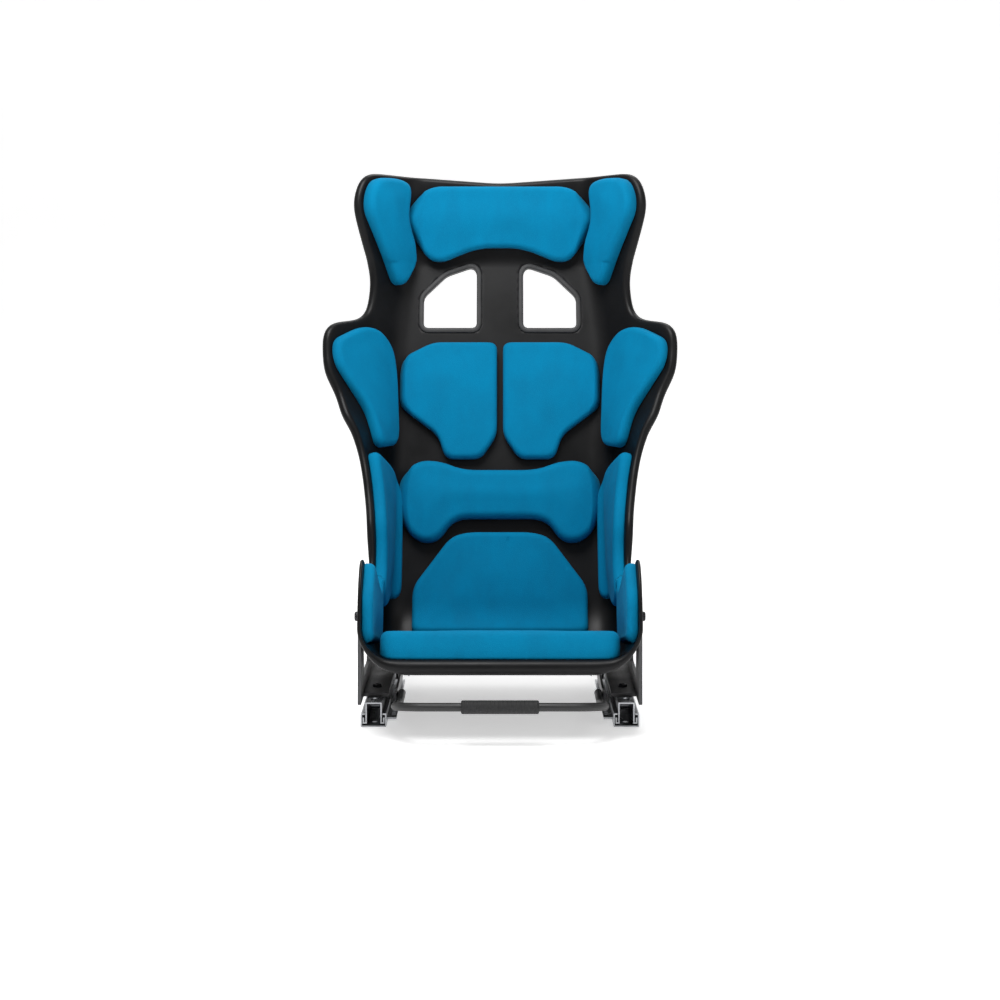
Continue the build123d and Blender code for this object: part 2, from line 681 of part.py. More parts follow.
def upper_rail(side):
    """Sliding rail: an inverted channel with a turned-up foot along each side."""
    half = UPPER_RAIL_WIDTH / 2
    with BuildPart() as made:
        with BuildSketch(ALONG):
            with Locations((side * rail_mid, UPPER_FOOT_Z)):
                Rectangle(
                    UPPER_RAIL_WIDTH + 2 * UPPER_FOOT_REACH, UPPER_FOOT_TOP - UPPER_FOOT_Z,
                    align=(Align.CENTER, Align.MIN),
                )
                Rectangle(UPPER_RAIL_WIDTH, RAIL_STACK - UPPER_FOOT_Z, align=(Align.CENTER, Align.MIN))
                Rectangle(
                    UPPER_RAIL_WIDTH - 2 * RAIL_SHEET, RAIL_STACK - RAIL_SHEET - UPPER_FOOT_Z,
                    align=(Align.CENTER, Align.MIN), mode=Mode.SUBTRACT,
                )
            for edge in (-1, 1):
                with Locations((side * rail_mid + edge * half, UPPER_FOOT_Z + RAIL_SHEET)):
                    Rectangle(
                        UPPER_FOOT_REACH - RAIL_SHEET, UPPER_FOOT_TOP - UPPER_FOOT_Z,
                        align=(Align.MIN if edge > 0 else Align.MAX, Align.MIN), mode=Mode.SUBTRACT,
                    )
        extrude(amount=RAIL_LENGTH)
        with Locations([(x, y, RAIL_STACK) for x, y in rail_bolt_places if x * side > 0]):
            Cylinder(BOLT_HOLE_RADIUS, 4 * RAIL_SHEET, mode=Mode.SUBTRACT)
        with Locations([(side * rail_mid, end * FLOOR_BOLT_SPREAD / 2, RAIL_STACK) for end in (-1, 1)]):
            Cylinder(ACCESS_RADIUS, 4 * RAIL_SHEET, mode=Mode.SUBTRACT)
    return made.part


def glide_shoes(side, rail):
    """Four nylon shoes clipped round the feet of an upper rail."""
    inner, outer = UPPER_RAIL_WIDTH / 2, RAIL_WIDTH / 2 - RAIL_SHEET - RUNNING_GAP
    with BuildPart() as made:
        for edge in (-1, 1):
            for y in (-SHOE_SPREAD / 2, SHOE_SPREAD / 2):
                with Locations((side * rail_mid + edge * inner, y, RAIL_SHEET + RUNNING_GAP)):
                    Box(
                        outer - inner, SHOE_LENGTH, LOWER_RAIL_HEIGHT - 2 * (RAIL_SHEET + RUNNING_GAP),
                        align=(Align.MIN if edge > 0 else Align.MAX, Align.CENTER, Align.MIN),
                    )
        add(rail, mode=Mode.SUBTRACT)
    return made.part


for name, side in SIDES.items():
    sliding = upper_rail(side)
    save(lower_rail(side), f"lower_rail_{name}")
    save(sliding, f"upper_rail_{name}")
    save(glide_shoes(side, sliding), f"glide_shoes_{name}")

with BuildPart() as travel_stops:
    with Locations([(side * rail_mid, 0, RAIL_SHEET) for side in SIDES.values()]):
        Cylinder(STOP_RADIUS, STOP_HEIGHT, align=LOWEST)
save(travel_stops.part, "travel_stops")

with BuildPart() as stop_pins:
    for side in SIDES.values():
        for end in (-1, 1):
            y = end * (TRAVEL + STOP_RADIUS + STOP_RADIUS + FIT)
            with Locations(axis_plane(side * rail_mid, y, STOP_HEIGHT - 1, side)):
                Cylinder(STOP_RADIUS, UPPER_RAIL_WIDTH - 2 * RAIL_SHEET)
save(stop_pins.part, "stop_pins")


# ---- Latch: a toothed lever on each side drops into a slotted rack beside the floor rail ----
rack_inner = rail_mid - RAIL_WIDTH / 2 - RACK_WIDTH
lever_mid = rack_inner + RACK_WIDTH / 2 - 2
tooth_places = [-RACK_PITCH * (number + FIRST_TOOTH) for number in range(TEETH)]
rack_mid = -RACK_PITCH * (FIRST_TOOTH + TEETH // 2)


def lock_rack(side):
    """Slotted strip welded to the inner side of a floor rail."""
    with BuildPart() as made:
        with Locations((side * (rail_mid - RAIL_WIDTH / 2), rack_mid, RACK_Z)):
            Box(
                RACK_WIDTH, RACK_LENGTH, RACK_SHEET,
                align=(Align.MAX if side > 0 else Align.MIN, Align.CENTER, Align.MIN),
            )
        count = round((RACK_LENGTH - 2 * RACK_PITCH) / RACK_PITCH)
        with Locations((side * lever_mid, rack_mid, RACK_Z)):
            with GridLocations(0, RACK_PITCH, 1, count - 1 + count % 2):
                Box(LEVER_SHEET + 2.5, RACK_SLOT, 4 * RACK_SHEET, mode=Mode.SUBTRACT)
    return made.part


def latch_lever(side):
    """Lever plate: pivot eye at the back, teeth below its middle, the bar's seat at the front."""
    pivot_y, pivot_z = LEVER_PIVOT
    body_low = RACK_Z + RACK_SHEET + 2
    with BuildPart() as made:
        with BuildSketch(SIDE.offset(side * (lever_mid - LEVER_SHEET / 2))):
            with BuildLine():
                Polyline(
                    (pivot_y, pivot_z + EYE_RADIUS), (pivot_y, pivot_z - EYE_RADIUS),
                    (tooth_places[0] + 12, body_low), (LEVER_TIP_Y, body_low + 6),
                    (LEVER_TIP_Y, body_low + 21), (tooth_places[-1] - 8, body_low + 17), close=True,
                )
            make_face()
            with Locations(LEVER_PIVOT):
                Circle(EYE_RADIUS)
            for y in tooth_places:
                with Locations((y, RACK_Z)):
                    Rectangle(TOOTH_WIDTH, body_low + TOOTH_ROOT - RACK_Z, align=(Align.CENTER, Align.MIN))
            with Locations(LEVER_PIVOT):
                Circle(PIN_RADIUS + PIN_PLAY, mode=Mode.SUBTRACT)
        extrude(amount=side * LEVER_SHEET)
    return made.part


def pivot_tab(side):
    """Tab welded to the inner edge of a bracket's flange, which holds the lever's pin."""
    pivot_y, pivot_z = LEVER_PIVOT
    edge = bracket_face - FLANGE_WIDTH
    with BuildPart() as made:
        with BuildSketch(SIDE.offset(side * edge)):
            with Locations((pivot_y, flange_high)):
                Rectangle(4 * PIN_RADIUS + 8, flange_high - pivot_z, align=(Align.CENTER, Align.MAX))
            with Locations(LEVER_PIVOT):
                Circle(2 * PIN_RADIUS + 4)
                Circle(PIN_RADIUS, mode=Mode.SUBTRACT)
        extrude(amount=-side * TAB_SHEET)
    return made.part


for name, side in SIDES.items():
    save(lock_rack(side), f"lock_rack_{name}")
    save(latch_lever(side), f"latch_lever_{name}")
    save(pivot_tab(side), f"pivot_tab_{name}")

lever_face = lever_mid - LEVER_SHEET / 2
tab_outer = bracket_face - FLANGE_WIDTH
with BuildPart() as pivot_pins:
    for side in SIDES.values():
        with Locations(axis_plane(side * tab_outer, *LEVER_PIVOT, -side)):
            Cylinder(PIN_RADIUS, tab_outer - lever_face + SPRING_ROOM, align=LOWEST)
        with Locations(axis_plane(side * (lever_face - SPRING_ROOM), *LEVER_PIVOT, -side)):
            Cylinder(PIN_RADIUS + 3.5, 2, align=LOWEST)
save(pivot_pins.part, "pivot_pins")

with BuildPart() as coil_spring:
    with BuildLine():
        coil = Helix(SPRING_PITCH, SPRING_ROOM - SPRING_WIRE - 1, PIN_RADIUS + SPRING_WIRE)
    with BuildSketch(Plane(origin=coil @ 0, z_dir=coil % 0)):
        Circle(SPRING_WIRE / 2)
    sweep(path=coil)

with BuildPart() as latch_springs:
    for side in SIDES.values():
        with Locations(axis_plane(side * (lever_face - SPRING_WIRE / 2 - 0.5), *LEVER_PIVOT, -side)):
            add(coil_spring.part)
save(latch_springs.part, "latch_springs")

# The bar is welded to the inner faces of both levers.
bar_x = lever_face - BAR_RADIUS - 0.1
bar_back = (LEVER_TIP_Y + 38, RACK_Z + RACK_SHEET + 14)
with BuildPart() as release_bar:
    with BuildLine():
        FilletPolyline(
            (-bar_x, *bar_back), (-bar_x, LEVER_TIP_Y - 30, bar_back[1]), (-bar_x, BAR_Y, BAR_Z),
            (bar_x, BAR_Y, BAR_Z), (bar_x, LEVER_TIP_Y - 30, bar_back[1]), (bar_x, *bar_back),
            radius=BAR_CORNER,
        )
    with BuildSketch(Plane(origin=(-bar_x, *bar_back), z_dir=(0, -1, 0))):
        Circle(BAR_RADIUS)
    sweep()
save(release_bar.part, "release_bar")

with BuildPart() as release_grip:
    with Locations(Plane(origin=(0, BAR_Y, BAR_Z), z_dir=(1, 0, 0))):
        Cylinder(GRIP_RADIUS, GRIP_LENGTH)
        Cylinder(BAR_RADIUS + PIN_PLAY, GRIP_LENGTH, mode=Mode.SUBTRACT)
    fillet(release_grip.edges().filter_by(GeomType.CIRCLE).sort_by(SortBy.RADIUS)[-2:], 2.5)
save(release_grip.part, "release_grip")
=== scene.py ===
import json
import math

import bmesh
import bpy
import numpy as np
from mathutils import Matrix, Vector
from mathutils.geometry import delaunay_2d_cdt


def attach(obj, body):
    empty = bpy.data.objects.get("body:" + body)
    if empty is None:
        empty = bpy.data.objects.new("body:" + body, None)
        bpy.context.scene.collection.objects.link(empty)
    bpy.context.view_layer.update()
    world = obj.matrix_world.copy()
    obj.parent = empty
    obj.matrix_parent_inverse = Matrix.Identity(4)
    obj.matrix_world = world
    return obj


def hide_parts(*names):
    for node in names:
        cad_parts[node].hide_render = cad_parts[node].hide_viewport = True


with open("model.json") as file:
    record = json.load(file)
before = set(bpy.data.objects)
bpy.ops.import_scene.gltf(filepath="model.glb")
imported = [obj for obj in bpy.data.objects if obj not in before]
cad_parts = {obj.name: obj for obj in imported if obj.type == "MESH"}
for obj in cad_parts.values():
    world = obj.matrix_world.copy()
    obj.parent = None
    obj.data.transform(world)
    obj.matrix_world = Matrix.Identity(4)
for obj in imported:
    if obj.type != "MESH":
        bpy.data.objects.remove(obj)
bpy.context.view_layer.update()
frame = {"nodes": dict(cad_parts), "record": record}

MM = 0.001
scene = bpy.context.scene

# ---- The shell's surface, built as in the CAD and in millimetres ----
# X is across the seat, the occupant faces -Y, Z is up.
LIP_Y, LIP_Z = -290.0, 120.0
PAN_SLOPE, BACK_RECLINE, HEAD_RECLINE = 12.5, 16.0, 3.0     # degrees
PAN_FALL = math.tan(math.radians(PAN_SLOPE))
BACK_LEAN = math.tan(math.radians(BACK_RECLINE))
HEAD_LEAN = math.tan(math.radians(HEAD_RECLINE))
BACK_Y, FAN_Z, HEAD_BEND_Z = 250.0, 512.0, 687.0
BIGHT = 105.0               # radius between pan and backrest
CORNER = 45.0               # radius between the flat middle and the side walls
FAN_END = 90                # the station where the sections become level
RISE_PER_DEGREE = 8.0       # stations above it
TOP_Z = 844.0
SHELL_WALL = 4.5

corner_y = (BACK_Y + (LIP_Z + PAN_FALL * LIP_Y - FAN_Z) * BACK_LEAN) / (1 + PAN_FALL * BACK_LEAN)
corner_z = LIP_Z - PAN_FALL * (corner_y - LIP_Y)
tangent = BIGHT * math.tan(math.radians(90 + PAN_SLOPE - BACK_RECLINE) / 2)
slope_sin, slope_cos = math.sin(math.radians(PAN_SLOPE)), math.cos(math.radians(PAN_SLOPE))
pan_end_y, pan_end_z = corner_y - tangent * slope_cos, corner_z + tangent * slope_sin
bight_y, bight_z = pan_end_y + BIGHT * slope_sin, pan_end_z + BIGHT * slope_cos
back_start_z = corner_z + tangent * math.cos(math.radians(BACK_RECLINE))


def level(height):
    """Station of a level section."""
    return FAN_END + (height - FAN_Z) / RISE_PER_DEGREE


# Station, half of the flat middle, half width at the rim, depth of the rim.
SHAPE = np.array([
    (0, 198, 198, 130), (15, 198, 198, 168), (30, 198, 198, 216), (37, 198, 198, 240),
    (43, 197, 197, 214), (52, 193, 199, 168), (62, 187, 207, 136), (75, 177, 234, 132),
    (90, 174, 302, 150), (level(549), 173, 310, 152), (level(602), 168, 300, 146),
    (level(657), 160, 275, 128), (level(712), 150, 257, 112), (level(784), 148, 251, 102),
    (level(844), 148, 249, 92),
], float)


def fan_hit(angle):
    """Distance from the fan axis to the middle of the surface, along a ray back from straight down."""
    step_y, step_z = math.sin(angle), -math.cos(angle)
    if -step_z > PAN_FALL * step_y:
        run = (FAN_Z - LIP_Z) / (-step_z - PAN_FALL * step_y)
        if LIP_Y + run * step_y <= pan_end_y:
            return run
    run = (BACK_Y - LIP_Y) / (step_y - step_z * BACK_LEAN)
    if FAN_Z + run * step_z >= back_start_z:
        return run
    along = (bight_y - LIP_Y) * step_y + (bight_z - FAN_Z) * step_z
    apart = (bight_y - LIP_Y) ** 2 + (bight_z - FAN_Z) ** 2 - along**2
    return along + math.sqrt(BIGHT**2 - apart)


def smooth_column(stations, column):
    """A size of the sections at each station, on a curve that doesn't overshoot the table."""
    at, values = SHAPE[:, 0], SHAPE[:, column]
    grade = np.diff(values) / np.diff(at)
    before, after = np.r_[grade[0], grade], np.r_[grade, grade[-1]]
    both = before * after
    ends = np.where(both > 0, 2 * both / np.where(both > 0, before + after, 1), 0)
    i = np.clip(np.searchsorted(at, stations, side="right") - 1, 0, len(at) - 2)
    span = at[i + 1] - at[i]
    t = (stations - at[i]) / span
    return (
        values[i] * (1 + 2 * t) * (1 - t) ** 2 + values[i + 1] * t**2 * (3 - 2 * t)
        + span * t * (1 - t) * (ends[i] * (1 - t) - ends[i + 1] * t)
    )


def section_table():
    """Rows of the surface's middle line: its length so far, station, place, inward direction and sizes."""
    stations = np.r_[np.arange(0, FAN_END, 0.1), np.arange(FAN_END, level(TOP_Z), 0.1)]
    place, inward = [], []
    for station in stations:
        if station < FAN_END:
            angle = math.radians(station)
            run = fan_hit(angle)
            place.append((LIP_Y + run * math.sin(angle), FAN_Z - run * math.cos(angle)))
            inward.append((-math.sin(angle), math.cos(angle)))
        else:
            z = FAN_Z + (station - FAN_END) * RISE_PER_DEGREE
            y = BACK_Y + (min(z, HEAD_BEND_Z) - FAN_Z) * BACK_LEAN + max(z - HEAD_BEND_Z, 0) * HEAD_LEAN
            place.append((y, z))
            inward.append((-1, 0))
    place, inward = np.array(place), np.array(inward)
    run = np.r_[0, np.cumsum(np.hypot(*np.diff(place, axis=0).T))]
    sizes = [smooth_column(stations, column) for column in (1, 2, 3)]
    return [run, stations, *place.T, *inward.T, *sizes]


TABLE = section_table()
V_TOP = TABLE[0][-1]


def surface(ring):
    """Points of the shell's inner side. A ring's columns are s, along a section, and v, along the middle."""
    s, v = ring[..., 0], ring[..., 1]
    y, z, in_y, in_z, flat, rim, depth = (np.interp(v, TABLE[0], column) for column in TABLE[2:])
    slope = np.arctan2(depth, rim - flat)
    flat_end = flat - CORNER * np.tan(slope / 2)
    turn = np.clip((np.abs(s) - flat_end) / CORNER, 0, slope)
    rest = np.maximum(np.abs(s) - flat_end - CORNER * slope, 0)
    x = np.minimum(np.abs(s), flat_end) + CORNER * np.sin(turn) + rest * np.cos(slope)
    up = CORNER * (1 - np.cos(turn)) + rest * np.sin(slope)
    return np.stack([np.sign(s) * x, y + up * in_y, z + up * in_z], -1)


def unit(vectors):
    """The vectors with a length of one."""
    return vectors / np.linalg.norm(vectors, axis=-1, keepdims=True)


def directions(ring):
    """Change of the surface's points along s and along v, and its normal towards the occupant."""
    along_s = (surface(ring + (1, 0)) - surface(ring - (1, 0))) / 2
    low = np.maximum(ring - (0, 1), (-1e9, 0))
    high = np.minimum(ring + (0, 1), (1e9, V_TOP))
    along_v = (surface(high) - surface(low)) / (high - low)[..., 1:2]
    return along_s, along_v, unit(np.cross(along_s, along_v))


def rim_length(v):
    """Length of half a section, from its middle to the rim of the lofted surface."""
    flat, rim, depth = (np.interp(v, TABLE[0], column) for column in TABLE[6:])
    slope = np.arctan2(depth, rim - flat)
    return flat - 2 * CORNER * np.tan(slope / 2) + CORNER * slope + np.hypot(depth, rim - flat)


# ---- Outlines on the surface ----
def spread(ring, count=None, spacing=4.0):
    """The ring's points spaced evenly along it, by their real distances."""
    loop = np.vstack([ring, ring[:1]])
    along = np.r_[0, np.cumsum(np.linalg.norm(np.diff(surface(loop), axis=0), axis=1))]
    count = count or max(int(round(along[-1] / spacing)), 12)
    wanted = np.linspace(0, along[-1], count + 1)[:-1]
    return np.stack([np.interp(wanted, along, loop[:, k]) for k in (0, 1)], -1)


def rounded(corners, radius):
    """Closed outline with rounded corners."""
    corners = np.array(corners, float)
    points = []
    for before, corner, after in zip(np.roll(corners, 1, 0), corners, np.roll(corners, -1, 0)):
        back, on = before - corner, after - corner
        reach = [min(radius, 0.46 * np.linalg.norm(way)) / np.linalg.norm(way) for way in (back, on)]
        start, end = corner + back * reach[0], corner + on * reach[1]
        for t in np.linspace(0, 1, 9)[:, None]:
            points.append(start * (1 - t) ** 2 + 2 * corner * t * (1 - t) + end * t**2)
    return np.vstack(points)


def turned_right(ring):
    """The ring in anticlockwise order."""
    nxt = np.roll(ring, -1, 0)
    area = np.sum(ring[:, 0] * nxt[:, 1] - nxt[:, 0] * ring[:, 1])
    return ring if area > 0 else ring[::-1]


def eased(ring, passes):
    """The ring smoothed a little, with its points kept even."""
    for _ in range(passes):
        ring = ring / 2 + (np.roll(ring, 1, 0) + np.roll(ring, -1, 0)) / 4
        ring = spread(ring, len(ring))
    return ring


def moved_in(ring, distance, steps=None, smooth=True):
    """The ring moved inwards over the surface by a distance, which may differ along it."""
    distance = np.broadcast_to(distance, len(ring))
    steps = steps or max(int(np.abs(distance).max() / 1.5), 1)
    for _ in range(steps):
        points = surface(ring)
        along_s, along_v, normal = directions(ring)
        way = unit(np.cross(normal, np.roll(points, -1, 0) - np.roll(points, 1, 0)))
        way = way * (distance / steps)[:, None]
        ss, sv, vv = ((a * b).sum(1) for a, b in ((along_s, along_s), (along_s, along_v), (along_v, along_v)))
        ws, wv = (way * along_s).sum(1), (way * along_v).sum(1)
        scale = ss * vv - sv * sv
        ring = ring + np.stack([(ws * vv - wv * sv) / scale, (wv * ss - ws * sv) / scale], -1)
        if smooth:
            ring = eased(ring, 1)
    return ring


def contains(ring, points):
    """Which points lie inside a ring."""
    x, y = points[:, :1], points[:, 1:]
    x1, y1 = ring.T
    x2, y2 = np.roll(ring, -1, 0).T
    with np.errstate(divide="ignore", invalid="ignore"):
        crosses = ((y1 > y) != (y2 > y)) & (x < (x2 - x1) * (y - y1) / (y2 - y1) + x1)
    return crosses.sum(1) % 2 == 1


def nearest(points, others):
    """Distance from each point to the nearest of the others."""
    parts = np.array_split(points, 40)
    return np.concatenate([np.linalg.norm(part[:, None] - others[None], axis=2).min(1) for part in parts])


def filled(ring, spacing, holes=()):
    """Points and triangles that fill a ring round its holes: the ring's points, the holes', then a grid's."""
    loops = [ring, *holes]
    low, high = ring.min(0), ring.max(0)
    columns = np.arange(low[0], high[0], spacing) - (low[0] % spacing)
    rows = np.arange(low[1], high[1], spacing * 0.87)
    grid = np.array([(x + (i % 2) * spacing / 2, y) for i, y in enumerate(rows) for x in columns])
    keep = contains(ring, grid) & (nearest(grid, np.vstack(loops)) > 0.62 * spacing)
    for hole in holes:
        keep &= ~contains(hole, grid)
    points = np.vstack([*loops, grid[keep]])
    edges, start = [], 0
    for loop in loops:
        edges += [(start + i, start + (i + 1) % len(loop)) for i in range(len(loop))]
        start += len(loop)
    made = delaunay_2d_cdt([Vector(p) for p in points], edges, [], 0, 1e-6)
    source = [own[0] if own else None for own in made[3]]
    for i, own in enumerate(source):
        if own is None:
            source[i] = int(np.argmin(np.linalg.norm(points - np.array(made[0][i]), axis=1)))
    faces = np.array([[source[i] for i in face] for face in made[2]])
    middle = points[faces].mean(1)
    keep = contains(ring, middle)
    for hole in holes:
        keep &= ~contains(hole, middle)
    return points, faces[keep]


WIDEST = 340                # no half section is this long
SEARCH_STEP = 4.0
BACK_Y_MIN = 60             # everything that is placed from the front lies behind this
WALL_S = 165                # everything that is placed from the side is on the wall, past this
grid_s, grid_v = np.arange(0, WIDEST, SEARCH_STEP), np.arange(0, V_TOP, SEARCH_STEP)
search = np.stack(np.meshgrid(grid_s, grid_v, indexing="ij"), -1).reshape(-1, 2)
search_points = surface(search)
on_surface = search[:, 0] < rim_length(search[:, 1]) + SEARCH_STEP


def locate(view, a, b):
    """Place on the surface's right half that shows at (x, z) from the front or at (y, z) from the side."""
    columns = (0, 2) if view == "front" else (1, 2)
    likely = search[:, 0] > (0 if view == "front" else WALL_S)
    if view == "front":
        likely &= search_points[:, 1] > BACK_Y_MIN
    allowed = np.flatnonzero(on_surface & likely)
    wanted = np.array((a, b), float)
    gaps = np.linalg.norm(search_points[allowed][:, columns] - wanted, axis=1)
    place = search[allowed[np.argmin(gaps)]].copy()
    for _ in range(12):
        along_s, along_v, _ = directions(place[None])
        grades = np.stack([along_s[0][list(columns)], along_v[0][list(columns)]], 1)
        step = np.linalg.lstsq(grades, wanted - surface(place[None])[0][list(columns)], rcond=None)[0]
        place += np.clip(step, -6, 6)
        place[1] = np.clip(place[1], 0, V_TOP)
    return place


def front(*points):
    """Places that show at these X and Z from the front."""
    return [locate("front", *point) for point in points]


def beside(*points):
    """Places that show at these Y and Z from the side."""
    return [locate("side", *point) for point in points]


def mirrored(half):
    """Whole outline from its right half, given from top to bottom."""
    return list(half) + [np.array((-s, v)) for s, v in reversed(half)]


# ---- Rim of the shell: where the trimmed surface ends, and the roll along it ----
def front_outline():
    """Right side of the trim outline seen from the front."""
    corners = [
        (0, 824), (231, 841), (248, 786), (213, 652), (223, 590), (293, 587), (304, 539), (258, 458),
        (243, 406), (243, 0), (0, 0),
    ]
    radii = [0, 13, 60, 14, 22, 36, 60, 160, 200, 0, 0]
    corners = np.array(corners, float)
    points = []
    for i, (corner, radius) in enumerate(zip(corners, radii)):
        if not radius:
            points.append(corner)
            continue
        back, on = unit(corners[i - 1] - corner), unit(corners[(i + 1) % len(corners)] - corner)
        half = math.acos(np.clip(back @ on, -1, 1)) / 2
        reach = radius / math.tan(half)
        centre = corner + unit(back + on) * radius / math.sin(half)
        start, end = corner + back * reach - centre, corner + on * reach - centre
        turn = math.atan2(start[0] * end[1] - start[1] * end[0], start @ end)
        for t in np.linspace(0, turn, 12):
            sine, cosine = math.sin(t), math.cos(t)
            points.append(centre + (start[0] * cosine - start[1] * sine, start[0] * sine + start[1] * cosine))
    return np.vstack(points)


FRONT_OUTLINE = front_outline()

# From the side, the thigh wall's front edge is a quarter of an ellipse.
THIGH_FRONT, THIGH_BACK, THIGH_LOW, THIGH_TOP = -291.0, -215.0, 134.0, 258.0
turn = np.linspace(0, math.pi / 2, 15)
THIGH_CURVE = np.stack([
    THIGH_BACK + (THIGH_FRONT - THIGH_BACK) * np.cos(turn),
    THIGH_LOW + (THIGH_TOP - THIGH_LOW) * np.sin(turn),
], -1)


def inside_shell(ring):
    """Which places are inside the shell's trim."""
    points = surface(ring)
    flat = np.abs(points[:, [0, 2]])
    kept = contains(FRONT_OUTLINE, flat) & (np.abs(ring[:, 0]) <= rim_length(ring[:, 1]))
    cut_z = np.interp(points[:, 1], THIGH_CURVE[:, 0], THIGH_CURVE[:, 1])
    return kept & ~((points[:, 1] < THIGH_CURVE[-1, 0]) & (points[:, 2] > cut_z))


def last_inside(fixed, low, high, step, along_s):
    """Furthest place inside the shell's trim for each fixed coordinate, to a hundredth of a millimetre."""
    def ring_at(moving, keep=slice(None)):
        return np.stack([moving, fixed[keep]] if along_s else [fixed[keep], moving], -1)
    found = np.full(len(fixed), np.nan)
    for moving in np.arange(high, low, -step):
        todo = np.flatnonzero(np.isnan(found))
        if not len(todo):
            break
        hit = inside_shell(ring_at(np.full(len(todo), moving), todo))
        found[todo[hit]] = moving
    good = ~np.isnan(found)
    inner, outer = found[good], found[good] + step
    for _ in range(9):
        middle = (inner + outer) / 2
        hit = inside_shell(ring_at(middle, good))
        inner, outer = np.where(hit, middle, inner), np.where(hit, outer, middle)
    return inner, good


def shell_rim():
    """Closed trim outline of the shell on its surface, from the middle of the lip round to the right."""
    v = np.linspace(0, V_TOP, 1800)
    s, good = last_inside(v, 0, WIDEST, SEARCH_STEP, True)
    sides = np.stack([s, v[good]], -1)
    tip = sides[-1, 0]
    across = np.linspace(tip, 0, 60)
    v_top, good = last_inside(across, V_TOP - 60, V_TOP, 2.0, False)
    lip = np.stack([np.linspace(0, sides[0, 0], 80)[:-1], np.zeros(79)], -1)
    half = np.vstack([lip, sides, np.stack([across[good], v_top], -1)[1:]])
    other = half[::-1][1:-1] * (-1, 1)
    return turned_right(spread(np.vstack([half, other]), spacing=5.0))


def soft_average(values, reach):
    """Values round a ring, each averaged with as many as reach on both sides."""
    weights = np.hanning(2 * reach + 3)[1:-1]
    wrapped = np.r_[values[-reach:], values, values[:reach]]
    return np.convolve(wrapped, weights / weights.sum(), mode="valid")


# Radius of the roll at the lip, then at stations along the side, and at the top.
LIP_ROLL, TOP_ROLL = 11.0, 7.0
SIDE_ROLLS = (0, 40, 50, 72, 84), (2.6, 2.6, 6.5, 6.5, 8.0)
LIP_S, TOP_EDGE_Z, TOP_EDGE_X = 175, 815, 212
rim = shell_rim()
station = np.interp(rim[:, 1], TABLE[0], TABLE[1])
roll = np.interp(station, *SIDE_ROLLS)
rim_points = surface(rim)
roll = np.where((np.abs(rim[:, 0]) < LIP_S) & (rim[:, 1] < 5), LIP_ROLL, roll)
roll = np.where((rim_points[:, 2] > TOP_EDGE_Z) & (np.abs(rim_points[:, 0]) < TOP_EDGE_X), TOP_ROLL, roll)
roll = soft_average(roll, 9)
_, _, rim_normal = directions(rim)
rim_out = -unit(np.cross(rim_normal, np.roll(rim_points, -1, 0) - np.roll(rim_points, 1, 0)))
# The roll turns away from the occupant, so a wall that leans out is set back for it by its slope.
lean = np.clip(-rim_out[:, 1], 0, 0.86) * np.interp(np.abs(rim_points[:, 0]), (200, 220), (0, 1))
lean = lean * np.interp(station, (50, 64), (0, 1))
set_back = soft_average(roll * (1 + 0.4 * lean) / np.sqrt(1 - lean**2), 5)
roll_start = moved_in(rim, set_back, steps=20)
WALL_LIMIT = 1.5            # a pad stays this far from the start of the roll
EAR_S = 200.0               # the roll start runs up the side as far as here, and then along the top

side_edge = roll_start[roll_start[:, 0] > EAR_S]
side_edge = side_edge[np.argsort(side_edge[:, 1])]
top_edge = roll_start[(roll_start[:, 0] >= 0) & (roll_start[:, 0] <= EAR_S) & (roll_start[:, 1] > V_TOP / 2)]
top_edge = top_edge[np.argsort(top_edge[:, 0])]


def clamped(ring):
    """The ring kept off the rim's roll."""
    s_limit = np.interp(ring[:, 1], *side_edge.T[::-1]) - WALL_LIMIT
    v_limit = np.interp(np.abs(ring[:, 0]), *top_edge.T) - WALL_LIMIT
    s = np.sign(ring[:, 0]) * np.minimum(np.abs(ring[:, 0]), s_limit)
    return np.stack([s, np.minimum(ring[:, 1], v_limit)], -1)


# ---- Materials ----
def srgb(red, green, blue):
    """Linear colour from 0-255 display values."""
    parts = [c / 255 for c in (red, green, blue)]
    return tuple(c / 12.92 if c <= 0.04045 else ((c + 0.055) / 1.055) ** 2.4 for c in parts) + (1,)


